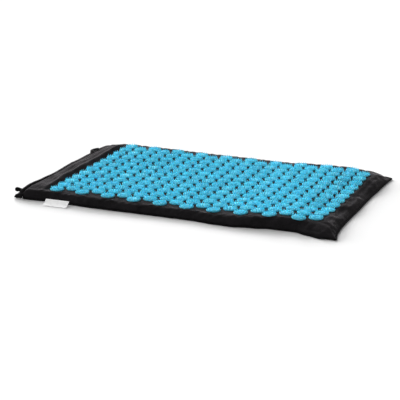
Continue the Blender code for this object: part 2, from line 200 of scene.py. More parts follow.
def discMaterial():
    # Injection-moulded ABS, sky blue: a satin skin with a faint cloudiness, and each disc's batch
    # is a hair lighter or darker than its neighbour's. Light goes a little way into the plastic.
    # The cloudiness is 2.4 mm across, and the skin's grain 0.4 mm
    made, tree, shader = startMaterial("skyBlueAbs")
    place = addNode(tree, "ShaderNodeTexCoord")
    cloud = addNode(tree, "ShaderNodeTexNoise", {"Vector": place.outputs["Object"], "Scale": 420.0,
                                                 "Detail": 4.0, "Roughness": 0.7})
    batch = addNode(tree, "ShaderNodeAttribute", attribute_name="batch")
    both = addNode(tree, "ShaderNodeMath", {0: cloud.outputs[0], 1: 0.6, 2: batch.outputs["Fac"]},
                   operation="MULTIPLY_ADD")
    tone = addNode(tree, "ShaderNodeMapRange", {0: both.outputs[0], 1: 0.2, 2: 1.0})
    colour = addNode(tree, "ShaderNodeMix", {0: tone.outputs[0], 6: hexColour("#5dcbe7"),
                                             7: hexColour("#69d5ef")}, data_type="RGBA")
    tree.links.new(colour.outputs[2], shader.inputs["Base Color"])
    skin = addNode(tree, "ShaderNodeTexNoise", {"Vector": place.outputs["Object"], "Scale": 2600.0,
                                                "Detail": 2.0})
    bump = addNode(tree, "ShaderNodeBump", {"Height": skin.outputs[0], "Strength": 0.15,
                                            "Distance": 0.00008})
    tree.links.new(bump.outputs[0], shader.inputs["Normal"])
    rough = addNode(tree, "ShaderNodeMapRange", {0: skin.outputs[0], 3: 0.50, 4: 0.62})
    tree.links.new(rough.outputs[0], shader.inputs["Roughness"])
    shader.inputs["IOR"].default_value = 1.53
    shader.inputs["Specular IOR Level"].default_value = 0.12
    shader.inputs["Subsurface Weight"].default_value = 0.6
    shader.inputs["Subsurface Radius"].default_value = (0.5, 0.9, 1.0)
    shader.inputs["Subsurface Scale"].default_value = 0.0016
    return made


def threadMaterial(name, dark, pale, pitch, axis):
    # Twisted or ribbed thread and tape: fine ridges across the length, pitch metres apart
    made, tree, shader = startMaterial(name)
    place = addNode(tree, "ShaderNodeTexCoord")
    ribs = addNode(tree, "ShaderNodeTexWave", {"Vector": place.outputs["Object"],
                                               "Scale": math.tau / 20 / pitch, "Distortion": 0.6,
                                               "Detail": 1.0}, bands_direction=axis)
    # the colour runs from dark in the grooves to pale on the ribs, so the grooves carry painted shade
    colour = addNode(tree, "ShaderNodeMix", {0: ribs.outputs["Fac"], 6: hexColour(dark),
                                             7: hexColour(pale)}, data_type="RGBA")
    tree.links.new(colour.outputs[2], shader.inputs["Base Color"])
    bump = addNode(tree, "ShaderNodeBump", {"Height": ribs.outputs["Fac"], "Strength": 0.6,
                                            "Distance": 0.0003})
    tree.links.new(bump.outputs[0], shader.inputs["Normal"])
    shader.inputs["Roughness"].default_value = 0.82
    shader.inputs["Sheen Weight"].default_value = 0.2
    return made


def foamMaterial():
    # Open-cell polyurethane foam: pale grey, dull, and full of round pores 1.4 mm across
    made, tree, shader = startMaterial("greyPolyurethaneFoam")
    place = addNode(tree, "ShaderNodeTexCoord")
    pores = addNode(tree, "ShaderNodeTexVoronoi", {"Vector": place.outputs["Object"], "Scale": 700.0})
    tone = addNode(tree, "ShaderNodeMapRange", {0: pores.outputs["Distance"], 1: 0.1, 2: 0.6})
    colour = addNode(tree, "ShaderNodeMix", {0: tone.outputs[0], 6: hexColour("#9a9da0"),
                                             7: hexColour("#7c8084")}, data_type="RGBA")
    tree.links.new(colour.outputs[2], shader.inputs["Base Color"])
    bump = addNode(tree, "ShaderNodeBump", {"Height": pores.outputs["Distance"], "Strength": 0.5,
                                            "Distance": 0.0006})
    tree.links.new(bump.outputs[0], shader.inputs["Normal"])
    shader.inputs["Roughness"].default_value = 0.95
    return made


def hardMaterial(name, dark, pale, roughness, metallic=0.0, gloss=0.2):
    # Enamel, nylon or rubber skin: even colour, with handling marks about 1 mm across in its gloss
    made, tree, shader = startMaterial(name)
    place = addNode(tree, "ShaderNodeTexCoord")
    marks = addNode(tree, "ShaderNodeTexNoise", {"Vector": place.outputs["Object"], "Scale": 800.0,
                                                 "Detail": 4.0})
    colour = addNode(tree, "ShaderNodeMix", {0: marks.outputs[0], 6: hexColour(dark),
                                             7: hexColour(pale)}, data_type="RGBA")
    tree.links.new(colour.outputs[2], shader.inputs["Base Color"])
    rough = addNode(tree, "ShaderNodeMapRange", {0: marks.outputs[0], 3: roughness - 0.08,
                                                 4: roughness + 0.12})
    tree.links.new(rough.outputs[0], shader.inputs["Roughness"])
    bump = addNode(tree, "ShaderNodeBump", {"Height": marks.outputs[0], "Strength": 0.2,
                                            "Distance": 0.0001})
    tree.links.new(bump.outputs[0], shader.inputs["Normal"])
    shader.inputs["Metallic"].default_value = metallic
    shader.inputs["Specular IOR Level"].default_value = gloss
    return made


blackCotton = cottonMaterial("blackPlainWeaveCotton", 0.0016, "#171617", "#262426", 0.47)
blackLining = cottonMaterial("blackCottonLining", 0.0016, "#151415", "#1e1d1f", 0.03)
bindingCotton = cottonMaterial("blackCottonBinding", 0.0012, "#0c0b0c", "#131213", 0.02)
# the label's satin carries a painted glow, so it shows brighter than its lamps make it
whiteSatin = cottonMaterial("whiteSatinRibbon", 0.0009, "#f8f8f8", "#fefefe", 0.8, gloss=1.0,
                            bloom="#ffffff", paintedGlow=0.17)
blackThread = threadMaterial("blackPolyesterThread", "#1b1a1b", "#3a383a", 0.0006, "Y")
wovenTape = threadMaterial("blackWovenPolyesterTape", "#161617", "#2b2a2c", 0.0009, "Y")
webbing = threadMaterial("blackRibbedWebbing", "#0e0d0f", "#1e1c1f", 0.0011, "Z")
braidedCord = threadMaterial("blackBraidedCord", "#0d0d0e", "#1f1e20", 0.0008, "X")
skyBlueAbs = discMaterial()
greyFoam = foamMaterial()
blackNylon = hardMaterial("blackNylonCoil", "#101011", "#1c1c1e", 0.42)
blackEnamel = hardMaterial("blackEnamelledZinc", "#0e0e0f", "#1a1a1b", 0.45, 0.2)
softRubber = hardMaterial("blackSoftRubber", "#050505", "#0b0b0c", 0.7, 0.0, 0.04)
print("materials made")


# The padded cover's shape, in metres, which the discs, the seam and the lip follow
coverShape = {
    "left": -0.317, "right": 0.317, "near": -0.210, "far": 0.210,   # the seams, as in the solids
    "seam": 0.0027, "top": 0.0161,
    "zipRoll": 0.022, "endRoll": 0.026, "nearRoll": 0.020, "farRoll": 0.021,
    "rollPower": 3.1,      # roundness of the edge: higher drops later and steeper
    "slumpRoll": 0.025, "slumpPower": 1.7, "slumpFrom": 0.12, "slumpRun": 0.14,
    "boxSpread": 0.05, "sagSpread": 0.036,       # how far in a corner's shape reaches
    "steepen": 0.25, "steepenSpread": 0.045,     # of the right end's wall beside the near corner
    "zipShare": 0.25,      # how much of the height the zipped end loses at its rim
    "groove": 0.0028, "grooveWidth": 0.0034,     # between that rim and the lip, towards the near side
    "crest": 0.0050,       # how far the padded roll along the zipped end stands up
    "crestIn": 0.0338, "crestWidth": 0.0066,
    "crestDrift": 0.003,   # how far it strays
    "crestSlip": 0.0040,   # how much farther in its near end is
    "crestNear": 0.35,     # its height at that end, as a share
    "valley": 0.0010,      # dip between that roll and the discs
    "valleyIn": 0.0462, "valleyWidth": 0.0045,
    "tuck": 0.0020,        # how far the near seam sits under the wall above it
    "crumple": 0.0024,     # of the near wall
    "cloth": 0.0010,
    "swell": 0.0003,       # small waves of the foam under the discs
    "sideFade": 0.05,      # run over which the roll grows from the long seams
    "ripple": 0.0010, "rippleIn": 0.016,         # small folds between the rim and the roll
    "riseRun": 0.045,      # how far in leftRise reaches
    "lean": 70, "leanTurn": 0.8,                 # slant of the near wall's creases
    "wallLean": 0.0006,   # how far that wall leans in at its middle
    "farCrease": 0.0015, "seamWaver": 0.0011, "endFold": 0.0022,
    # a ridge and a wandering dip along the right end
    "ridge": 0.0011, "ridgeIn": 0.0245, "ridgeWidth": 0.0035,
    "dip": 0.0014, "dipIn": 0.016, "dipWidth": 0.0045, "dipDrift": 0.004,
    "columns": 0.0036, "rows": 0.0062,           # the cloth's grid away from its edges
}
# How far the near and the right seam bow outwards, and how far the foam rises along the zipped end
nearBow = ((-0.317, 0.001), (-0.25, -0.0025), (-0.17, 0.0024), (-0.12, 0.0040), (-0.04, 0.0045),
           (0.02, 0.0048), (0.05, 0.0055), (0.09, 0.0115), (0.125, 0.0122), (0.17, 0.0050),
           (0.195, -0.002), (0.245, -0.002), (0.27, 0.0075), (0.293, 0.0145), (0.317, 0.007))
rightBow = ((-0.21, -0.0005), (-0.15, -0.0025), (-0.10, -0.0028), (-0.04, -0.0026), (0.06, -0.0036),
            (0.12, -0.002), (0.21, 0.0))
leftRise = ((-0.21, 0.0), (-0.165, 0.0028), (-0.104, 0.0), (-0.043, -0.0012), (0.018, 0.0016),
            (0.078, 0.0), (0.139, -0.001), (0.205, -0.0028))
# How the mat has settled along its near side, its middle and its far side: at each place along it,
# how far the discs have drifted along X and Y, and how far the foam has risen
settled = {
    "nearFrom": -0.085, "nearRun": 0.075, "farFrom": 0.050, "farRun": 0.100,   # where rows blend
    "near": ((-0.26, (0.0008, 0.0019, 0.0007)), (-0.18, (0.0003, 0.0015, 0.0010)),
             (-0.09, (0.0001, -0.0004, -0.0008)), (-0.01, (-0.0004, -0.0020, -0.0015)),
             (0.08, (-0.0012, -0.0027, -0.0013)), (0.13, (-0.0022, -0.0030, 0.0002)),
             (0.17, (-0.0030, -0.0024, 0.0024)), (0.22, (-0.0028, -0.0006, 0.0038)),
             (0.275, (-0.0016, -0.0010, 0.0010))),
    "middle": ((-0.26, (0.0001, 0.0008, 0.0008)), (-0.19, (0.0005, 0.0006, -0.0002)),
               (-0.12, (0.0006, -0.0002, -0.0014)), (0.01, (0.0006, -0.0004, -0.0018)),
               (0.09, (0.0010, -0.0004, -0.0025)), (0.16, (0.0008, 0.0004, -0.0004)),
               (0.22, (0.0013, 0.0020, 0.0009)), (0.275, (0.0022, 0.0004, -0.0026))),
    "far": ((-0.26, (0.0001, 0.0010, 0.0026)), (-0.19, (-0.0003, 0.0, 0.0022)),
            (-0.08, (-0.0006, -0.0008, 0.0003)), (0.01, (0.0, -0.0003, -0.0004)),
            (0.09, (-0.0001, -0.0010, -0.0012)), (0.16, (-0.0010, 0.0, 0.0016)),
            (0.22, (-0.0007, 0.0015, 0.0031)), (0.275, (-0.0006, -0.0004, 0.0003))),
}
# The four corners: reach along X and Y, spread, how boxy it stays, and how far its padding sags
ears = (
    {"x": -1, "y": -1, "reach": (-0.0055, -0.001), "spread": 0.020, "box": 0.4, "sag": 0.0},
    {"x": 1, "y": -1, "reach": (0.010, 0.009), "spread": 0.020, "box": 0.9, "sag": 0.0},
    {"x": 1, "y": 1, "reach": (0.0016, -0.0085), "spread": 0.012, "box": 0.0, "sag": 1.0},
    {"x": -1, "y": 1, "reach": (0.001, -0.002), "spread": 0.020, "box": 0.2, "sag": 0.15},
)


def rollFall(inset, roll, power=0.0):
    return max(0.0, 1 - max(0.0, inset) / roll) ** (power or coverShape["rollPower"])


def wallShare(inset, roll):
    # 1 half way up the rounded edge, 0 at the seam and on the flat
    share = min(1.0, max(0.0, inset) / roll)
    return math.sin(math.pi * share ** 0.6) ** 2


def settle(x, y):
    # the drift and rise of the mat's top at a place
    near, middle, far = (readTable(settled[row], x) for row in ("near", "middle", "far"))
    toNear = ease((settled["nearFrom"] - y) / settled["nearRun"])
    toFar = ease((y - settled["farFrom"]) / settled["farRun"])
    return middle + (near - middle) * toNear + (far - middle) * toFar


def padTop(x, y):
    shape = coverShape
    wave = waver(x * 11, y * 11, 0.3) * shape["swell"] + settle(x, y).z
    fromLeft = x - shape["left"]
    sides = ease((y - shape["near"]) / shape["sideFade"])
    sides *= ease((shape["far"] - y) / shape["sideFade"])
    crestIn = shape["crestIn"] + shape["crestDrift"] * waver(y * 9, 2.4, 0)
    crestIn += shape["crestSlip"] * ease((-y - 0.085) / 0.04)
    roll = shape["crest"] * hump(fromLeft, crestIn, shape["crestWidth"])
    roll *= shape["crestNear"] + (1 - shape["crestNear"]) * ease((y + 0.185) / 0.05)
    roll -= shape["valley"] * hump(fromLeft, shape["valleyIn"], shape["valleyWidth"])
    roll *= 1 + 0.35 * waver(y * 17, 6.1, 0)
    fold = shape["ripple"] * waver(y * 14, fromLeft * 230, 7.7)
    roll += fold * hump(fromLeft, shape["rippleIn"], shape["rippleIn"])
    rise = readTable(leftRise, y) * ease(1 - fromLeft / shape["riseRun"])
    return shape["top"] + wave + roll * sides + rise


def coverPoint(x, y):
    # from a place on the flat rectangle between the seams to the cover's outer surface
    shape = coverShape
    fromLeft, fromRight = x - shape["left"], shape["right"] - x
    fromNear, fromFar = y - shape["near"], shape["far"] - y
    fallX = max(shape["zipShare"] * rollFall(fromLeft, shape["zipRoll"]),
                rollFall(fromRight, shape["endRoll"]))
    # towards the right the near edge slumps into a long slope
    slump = ease((x - shape["slumpFrom"]) / shape["slumpRun"])
    nearPower = shape["rollPower"] + (shape["slumpPower"] - shape["rollPower"]) * slump
    nearRoll = shape["nearRoll"] + (shape["slumpRoll"] - shape["nearRoll"]) * slump
    fallY = max(rollFall(fromNear, nearRoll, nearPower), rollFall(fromFar, shape["farRoll"]))
    moved = Vector((x, y, 0))
    box, sag = 0.0, 0.0
    for ear in ears:
        cornerX = fromRight if ear["x"] > 0 else fromLeft
        cornerY = fromFar if ear["y"] > 0 else fromNear
        share = math.exp(-(cornerX + cornerY) / ear["spread"])
        moved.x += ear["x"] * ear["reach"][0] * share
        moved.y += ear["y"] * ear["reach"][1] * share
        box += ear["box"] * math.exp(-(cornerX + cornerY) / shape["boxSpread"])
        sag += ear["sag"] * math.exp(-((cornerX + cornerY) / shape["sagSpread"]) ** 2)
    beside = math.exp(-(fromRight + fromNear) / shape["steepenSpread"])
    fallX = fallX ** (1 + shape["steepen"] * beside)
    fall = math.hypot(fallX, fallY)
    fall += (max(fallX, fallY) - fall) * min(1.0, box)
    fall += (1 - min(1.0, fall)) * min(1.0, sag)
    moved.y -= readTable(nearBow, x) * (1 - ease(fromNear / (2 * shape["nearRoll"])))
    moved.x += readTable(rightBow, y) * (1 - ease(fromRight / (2 * shape["endRoll"])))
    # upright creases down the long walls, and soft folds along the end
    crease = waver(x * 24, 3.7, 0) + 0.5 * waver(x * 61, 9.1, 0)
    wall = wallShare(fromNear, shape["nearRoll"])
    share = min(1.0, max(0.0, fromNear) / shape["nearRoll"])
    lean = x * shape["lean"] + share * shape["leanTurn"]
    crease += 0.6 * waver(lean, share * 3.5, 5.5)
    crease += 0.45 * waver(lean * 2.3, share * 6, 8.5)
    moved.y += (shape["crumple"] * crease + shape["wallLean"]) * wall
    moved.y += shape["tuck"] * max(0.0, 1 - share / 0.16) ** 2
    moved.y -= shape["farCrease"] * crease * wallShare(fromFar, shape["farRoll"])
    moved.y += shape["seamWaver"] * waver(x * 55, 4.4, 0) * max(0.0, 1 - share / 0.3)
    fold = waver(y * 15, 1.9, 0)
    moved.x += shape["endFold"] * fold * wallShare(fromRight, shape["endRoll"])
    moved.z = shape["seam"] + (padTop(x, y) - shape["seam"]) * (1 - min(1.0, fall))
    ridge = shape["ridge"] * hump(fromRight, shape["ridgeIn"], shape["ridgeWidth"])
    dipIn = shape["dipIn"] + shape["dipDrift"] * fold
    ridge -= shape["dip"] * hump(fromRight, dipIn, shape["dipWidth"])
    moved.z += ridge * ease((fromNear - 0.02) / 0.05) * ease((fromFar - 0.03) / 0.05)
    groove = shape["groove"] * math.exp(-fromLeft / shape["grooveWidth"]) * ease((-y - 0.115) / 0.05)
    moved.z -= groove * ease(fromNear / 0.008)
    moved += wrinkleAt(x, y)
    moved.z = max(shape["seam"], moved.z)
    return moved


wrinkles = {
    "cell": 0.004, "growth": 0.045, "frames": 18, "cap": 0.0022,
    "rim": 0.005, "field": (-0.270, 0.289, -0.193, 0.188), "fieldRim": 0.006,   # held there
    "stiffness": {"tension": 20, "compression": 20, "shear": 8, "bending": 0.02},
    "calm": 0.7,           # how much of a move is lost where it is calm
    "moves": [],
}


def wrinkleAt(x, y):
    # the simulated cloth's move at a place, between the four nearest points of its grid
    moves = wrinkles["moves"]
    if not moves:
        return Vector()
    u = (x - coverShape["left"]) / (coverShape["right"] - coverShape["left"]) * (len(moves) - 1)
    v = (y - coverShape["near"]) / (coverShape["far"] - coverShape["near"]) * (len(moves[0]) - 1)
    i = min(len(moves) - 2, max(0, int(u)))
    j = min(len(moves[0]) - 2, max(0, int(v)))
    u, v = min(1.0, max(0.0, u - i)), min(1.0, max(0.0, v - j))
    # calm along the zipped end, and less so along the other end and the far side
    calm = max(ease((-0.240 - x) / 0.030), 0.6 * ease((x - 0.270) / 0.020),
               0.4 * ease((y - 0.150) / 0.030))
    low = moves[i][j].lerp(moves[i + 1][j], u)
    high = moves[i][j + 1].lerp(moves[i + 1][j + 1], u)
    return low.lerp(high, v) * (1 - wrinkles["calm"] * calm)


def spacedPlaces(low, high, lowSteps, highSteps, coarse):
    # fine steps inwards from both edges and even ones between
    start, end = low + lowSteps[-1], high - highSteps[-1]
    steps = round((end - start) / coarse)
    middle = [start + (end - start) * n / steps for n in range(1, steps)]
    return [low + step for step in lowSteps] + middle + [high - step for step in reversed(highSteps)]


def clothGrid(rows):
    # a grid primitive moved to rows of points, with a UV map in metres along the cloth
    xCells, yCells = len(rows) - 1, len(rows[0]) - 1
    pickNothing()
    bpy.ops.mesh.primitive_grid_add(x_subdivisions=xCells, y_subdivisions=yCells, size=2)
    piece = bpy.context.object
    middleRow, middleColumn = len(rows) // 2, len(rows[0]) // 2
    along, across = [], []
    for row in rows:
        runs = [0.0]
        for a, b in zip(row, row[1:]):
            runs.append(runs[-1] + (b - a).length)
        across.append([value - runs[middleColumn] for value in runs])
    for j in range(yCells + 1):
        runs = [0.0]
        for i in range(xCells):
            runs.append(runs[-1] + (rows[i + 1][j] - rows[i][j]).length)
        along.append([value - runs[middleRow] for value in runs])
    places = []
    for vert in piece.data.vertices:
        i = round((vert.co.x + 1) / 2 * xCells)
        j = round((vert.co.y + 1) / 2 * yCells)
        places.append((along[j][i], across[i][j]))
        vert.co = rows[i][j]
    piece.data.uv_layers[0].name = "cloth"
    layer = piece.data.uv_layers["cloth"].data
    for loop in piece.data.loops:
        layer[loop.index].uv = places[loop.vertex_index]
    return piece


def makeWrinkles():
    # a coarse copy of the cover, held at its seams and under the discs, grows by a few hundredths
    # and buckles where it is loose. The cover then takes its moves
    shape = coverShape
    length, width = shape["right"] - shape["left"], shape["far"] - shape["near"]
    xCells, yCells = round(length / wrinkles["cell"]), round(width / wrinkles["cell"])
    xPlaces = [shape["left"] + length * n / xCells for n in range(xCells + 1)]
    yPlaces = [shape["near"] + width * n / yCells for n in range(yCells + 1)]
    rows = [[coverPoint(x, y) for y in yPlaces] for x in xPlaces]
    cloth = clothGrid(rows)
    left, right, near, far = wrinkles["field"]
    spots = [(vert.index % (xCells + 1), vert.index // (xCells + 1)) for vert in cloth.data.vertices]
    held = cloth.vertex_groups.new(name="held")
    for vert, (i, j) in zip(cloth.data.vertices, spots):
        x, y = xPlaces[i], yPlaces[j]
        fromRim = min(x - shape["left"], shape["right"] - x, y - shape["near"], shape["far"] - y)
        inField = min(x - left, right - x, y - near, far - y)
        weight = max(1 - ease(fromRim / wrinkles["rim"]), ease(inField / wrinkles["fieldRim"]))
        held.add([vert.index], weight, "REPLACE")
    pickOnly(cloth)
    bpy.ops.object.modifier_add(type="CLOTH")
    sewn = cloth.modifiers[-1]
    settings = sewn.settings
    settings.quality = 6
    settings.mass = 0.1
    for way, value in wrinkles["stiffness"].items():
        setattr(settings, way + "_stiffness", value)
    settings.vertex_group_mass = "held"
    settings.shrink_min = -wrinkles["growth"]
    settings.effector_weights.gravity = 0
    sewn.point_cache.frame_start = 1
    sewn.point_cache.frame_end = wrinkles["frames"]
    for step in range(1, wrinkles["frames"] + 1):
        bpy.context.scene.frame_set(step)
    buckled = cloth.evaluated_get(bpy.context.evaluated_depsgraph_get()).data
    moves = [[Vector() for _ in yPlaces] for _ in xPlaces]
    for vert, start, (i, j) in zip(buckled.vertices, cloth.data.vertices, spots):
        move = vert.co - start.co
        if move.length > wrinkles["cap"]:
            move *= wrinkles["cap"] / move.length
        moves[i][j] = move
    bpy.data.objects.remove(cloth, do_unlink=True)
    bpy.context.scene.frame_set(1)
    wrinkles["moves"] = moves
    spread = [move.length for row in moves for move in row]
    print("wrinkles made", len(spread), sum(spread) / len(spread), max(spread))


def thickenCloth(piece, thickness, offset=-1.0, group=""):
    pickOnly(piece)
    bpy.ops.object.modifier_add(type="SOLIDIFY")
    wall = piece.modifiers[-1]
    wall.thickness = thickness
    wall.offset = offset
    wall.use_even_offset = False
    wall.vertex_group = group
    bpy.ops.object.modifier_apply(modifier=wall.name)


def makeCover():
    # both panels on one grid, which is fine near the seams, where the cloth turns down
    shape = coverShape
    wallSteps = [0.0, 0.0004, 0.0009, 0.0015, 0.0023, 0.0033, 0.0045, 0.006, 0.0078, 0.0098]
    wallSteps += [0.012 + 0.0025 * n for n in range(10)]
    endSteps = [0.0, 0.0008, 0.0018, 0.0030] + [0.0050 + 0.0020 * n for n in range(24)]
    xPlaces = spacedPlaces(shape["left"], shape["right"], endSteps, wallSteps, shape["columns"])
    yPlaces = spacedPlaces(shape["near"], shape["far"], wallSteps, wallSteps, shape["rows"])
    rows = [[coverPoint(x, y) for y in yPlaces] for x in xPlaces]
    top = clothGrid(rows)
    thickenCloth(top, shape["cloth"])
    smoothPiece(top, 60)
    finishPiece(top, "coverTopPanel", blackCotton, "mat", "cover_cotton", "cover_top_panel")
    flatRows = [[Vector((point.x, point.y, shape["cloth"])) for point in row] for row in rows]
    bottom = clothGrid(flatRows)
    thickenCloth(bottom, shape["cloth"])
    smoothPiece(bottom, 60)
    finishPiece(bottom, "coverBottomPanel", blackLining, "mat", "cover_cotton", "cover_bottom_panel")
    return top, bottom, rows


makeWrinkles()
coverTop, coverBottom, coverRows = makeCover()
print("cover made", len(coverTop.data.polygons))


# The pad inside: how far under the cover it lies, and its least thickness
foamShape = {"inset": 0.0030, "foot": 0.0013, "edge": 0.0060, "least": 0.002, "cells": (60, 40)}


def surfaceAt(x, y, step=0.006):
    # the cover's point and its upward normal, for what sits on or under it
    across = coverPoint(x + step, y) - coverPoint(x - step, y)
    along = coverPoint(x, y + step) - coverPoint(x, y - step)
    return coverPoint(x, y), across.cross(along).normalized()


def makeFoam():
    # one pad that follows the inside of the cover
    xCells, yCells = foamShape["cells"]
    edge = foamShape["edge"]
    length = coverShape["right"] - coverShape["left"] - 2 * edge
    width = coverShape["far"] - coverShape["near"] - 2 * edge
    lowest = foamShape["foot"] + foamShape["least"]
    rows = []
    for i in range(xCells + 1):
        x = coverShape["left"] + edge + length * i / xCells
        row = []
        for j in range(yCells + 1):
            y = coverShape["near"] + edge + width * j / yCells
            point, normal = surfaceAt(x, y)
            point -= normal * foamShape["inset"]
            row.append(Vector((point.x, point.y, max(lowest, point.z))))
        rows.append(row)
    pad = clothGrid(rows)
    pickOnly(pad)
    bpy.ops.object.mode_set(mode="EDIT")
    bpy.ops.mesh.select_all(action="SELECT")
    bpy.ops.mesh.extrude_region_move(TRANSFORM_OT_translate={"value": (0, 0, -0.01)})
    bpy.ops.object.mode_set(mode="OBJECT")
    for vert in pad.data.vertices:
        if vert.select:
            vert.co.z = foamShape["foot"]
    bpy.ops.object.mode_set(mode="EDIT")
    bpy.ops.mesh.select_all(action="SELECT")
    bpy.ops.mesh.normals_make_consistent(inside=False)
    bpy.ops.object.mode_set(mode="OBJECT")
    smoothPiece(pad, 40)
    finishPiece(pad, "foamPad", greyFoam, "mat", "foam", "foam_core")


makeFoam()
print("foam made")


discShape = {
    "foot": 0.0131, "radius": 0.0136, "plate": 0.0024, "rim": 0.0005, "sides": 24,
    # 27 spikes: how many in each ring, how far out, and the ring's turn in steps
    "rings": ((3, 0.0030, 0.0), (9, 0.0074, 0.5), (15, 0.0117, 0.0)),
    "spikeHeight": 0.0042, "spikeFoot": 0.00108, "spikeTip": 0.00020, "spikeSides": 5, "sink": 0.0003,
}
field = {
    "pitch": 0.032, "columns": 20, "longColumn": 12, "shiftX": 0.0098, "shiftY": -0.0024,
    "lift": 0.0001,        # the disc's underside sits this far into the cloth
    "tilt": 0.012, "seed": 27,
    "batch": 0.4,          # how far one disc's shade strays
}


def makeDisc():
    # a shallow cup with a softened rim and its three rings of spikes
    plate = discShape["plate"]
    pickNothing()
    bpy.ops.mesh.primitive_cone_add(
        vertices=discShape["sides"], radius1=discShape["foot"], radius2=discShape["radius"],
        depth=plate, location=(0, 0, plate / 2))
    disc = bpy.context.object
    bpy.ops.object.transform_apply(location=True)
    bpy.ops.object.mode_set(mode="EDIT")
    pickVerts(disc, lambda co: co.z > plate * 0.9)
    bpy.ops.mesh.bevel(offset=discShape["rim"], segments=2, affect="EDGES")
    bpy.ops.object.mode_set(mode="OBJECT")
    parts = [disc]
    depth = discShape["spikeHeight"] + discShape["sink"]
    for count, radius, turn in discShape["rings"]:
        for n in range(count):
            angle = math.tau * (n + turn) / count
            pickNothing()
            bpy.ops.mesh.primitive_cone_add(
                vertices=discShape["spikeSides"], radius1=discShape["spikeFoot"],
                radius2=discShape["spikeTip"], depth=depth, rotation=(0, 0, angle),
                location=(radius * math.cos(angle), radius * math.sin(angle),
                          plate - discShape["sink"] + depth / 2))
            parts.append(bpy.context.object)
    disc = joinPieces(parts)
    applyAll(disc)
    smoothPiece(disc, 50)
    disc.name = "discPattern"
    return disc


def makeColumns(pattern):
    chance = random.Random(field["seed"])
    columnPitch = field["pitch"] * math.sin(math.radians(60))
    for column in range(field["columns"]):
        x = field["shiftX"] + (column - (field["columns"] - 1) / 2) * columnPitch
        count = field["longColumn"] - column % 2
        copies = []
        for n in range(count):
            y = field["shiftY"] + (n - (count - 1) / 2) * field["pitch"]
            drift = settle(x, y)
            spot, normal = surfaceAt(x + drift.x, y + drift.y)
            normal.x += chance.uniform(-1, 1) * field["tilt"]
            normal.y += chance.uniform(-1, 1) * field["tilt"]
            lean = Vector((0, 0, 1)).rotation_difference(normal.normalized()).to_matrix().to_4x4()
            spin = Matrix.Rotation(chance.uniform(0, math.tau), 4, "Z")
            spot.z -= field["lift"]
            copy = copyPiece(pattern, Matrix.Translation(spot) @ lean @ spin)
            batch = copy.data.attributes.new("batch", "FLOAT", "POINT")
            shade = chance.random() * field["batch"]
            batch.data.foreach_set("value", [shade] * len(copy.data.vertices))
            copies.append(copy)
        piece = joinPieces(copies)
        applyAll(piece)
        finishPiece(piece, "discColumn%02d" % (column + 1), skyBlueAbs, "mat", "disc_plastic",
                    "disc_column_%02d" % (column + 1))


discPattern = makeDisc()
makeColumns(discPattern)
bpy.data.objects.remove(discPattern, do_unlink=True)
print("discs made")


# Seam roll round the near side, the end and the far side
seamShape = {"radius": 0.0016, "wave": 0.0004, "sides": 10}


def tubeAlong(points, radii, sides):
    # a closed tube along a line of points, with a UV map in metres along and round it
    rows = []
    for n, point in enumerate(points):
        before = points[max(n - 1, 0)]
        after = points[min(n + 1, len(points) - 1)]
        ahead = (after - before).normalized()
        side = ahead.cross(Vector((0, 0, 1)))
        side = side.normalized() if side.length > 0.001 else Vector((1, 0, 0))
        up = side.cross(ahead)
        row = []
        for k in range(sides + 1):
            angle = -math.tau * k / sides
            row.append(point + (side * math.cos(angle) + up * math.sin(angle)) * radii[n])
        rows.append(row)
    piece = clothGrid(rows)
    pickOnly(piece)
    bpy.ops.object.mode_set(mode="EDIT")
    bpy.ops.mesh.select_all(action="SELECT")
    bpy.ops.mesh.remove_doubles(threshold=0.00002)
    bpy.ops.mesh.select_all(action="DESELECT")
    bpy.ops.mesh.select_mode(type="EDGE")
    bpy.ops.mesh.select_non_manifold()
    bpy.ops.mesh.edge_face_add()
    bpy.ops.mesh.select_all(action="SELECT")
    bpy.ops.mesh.normals_make_consistent(inside=False)
    bpy.ops.object.mode_set(mode="OBJECT")
    return piece


def outwards(line, distance, height):
    # the line moved sideways, away from the mat, at one height
    moved = []
    for n, point in enumerate(line):
        before, after = line[max(n - 1, 0)], line[min(n + 1, len(line) - 1)]
        ahead = (after - before).normalized()
        moved.append(Vector((point.x + ahead.y * distance, point.y - ahead.x * distance, height)))
    return moved


def makeSeam():
    line = [row[0] for row in coverRows] + coverRows[-1][1:-1]
    line += [row[-1] for row in reversed(coverRows)]
    line = [Vector((point.x, point.y, 0)) for point in line]
    points = outwards(line, seamShape["radius"] + 0.0002, seamShape["radius"] + 0.0003)
    radii = []
    run = 0.0
    for n, point in enumerate(points):
        run += (point - points[n - 1]).length if n else 0
        radii.append(seamShape["radius"] + seamShape["wave"] * waver(run * 40, 0.5, 2))
    roll = tubeAlong(points, radii, seamShape["sides"])
    smoothPiece(roll, 60)
    finishPiece(roll, "seamRoll", bindingCotton, "mat", "binding", "seam_roll")


makeSeam()
print("seam made")


# Lip of cloth over the zip: a rounded tongue whose near end hangs down in a crumpled ear
lipShape = {
    "reach": 0.0078, "thickness": 0.0014, "steps": 12,
    "profile": ((0, 0), (0.15, 0.0015), (0.35, 0.0020), (0.65, 0.0021), (0.85, 0.0012), (1, -0.0008)),
    "earReach": 0.0130, "earIn": 0.0005, "earWidth": 0.0085, "earBulk": 0.0050, "crumple": 0.0022,
    "earTop": 0.0112, "earTip": 0.0036, "dropWidth": 0.0062, "earShift": 0.0035,
    "crumpleScale": 150, "lowest": 0.0024, "seed": 27,
    "root": -0.3125, "rootRun": 0.002,           # the ear starts beyond this X
    "sagAt": -0.001, "sagWidth": 0.0064, "sagFloor": 0.0006,
    "cuts": (0.0026, 0.0048, 0.0070),            # heights of the edges that its folds bend at
    "foldScale": (260, 260, 190), "fold": 0.0024, "foldFloor": 0.0003,
}


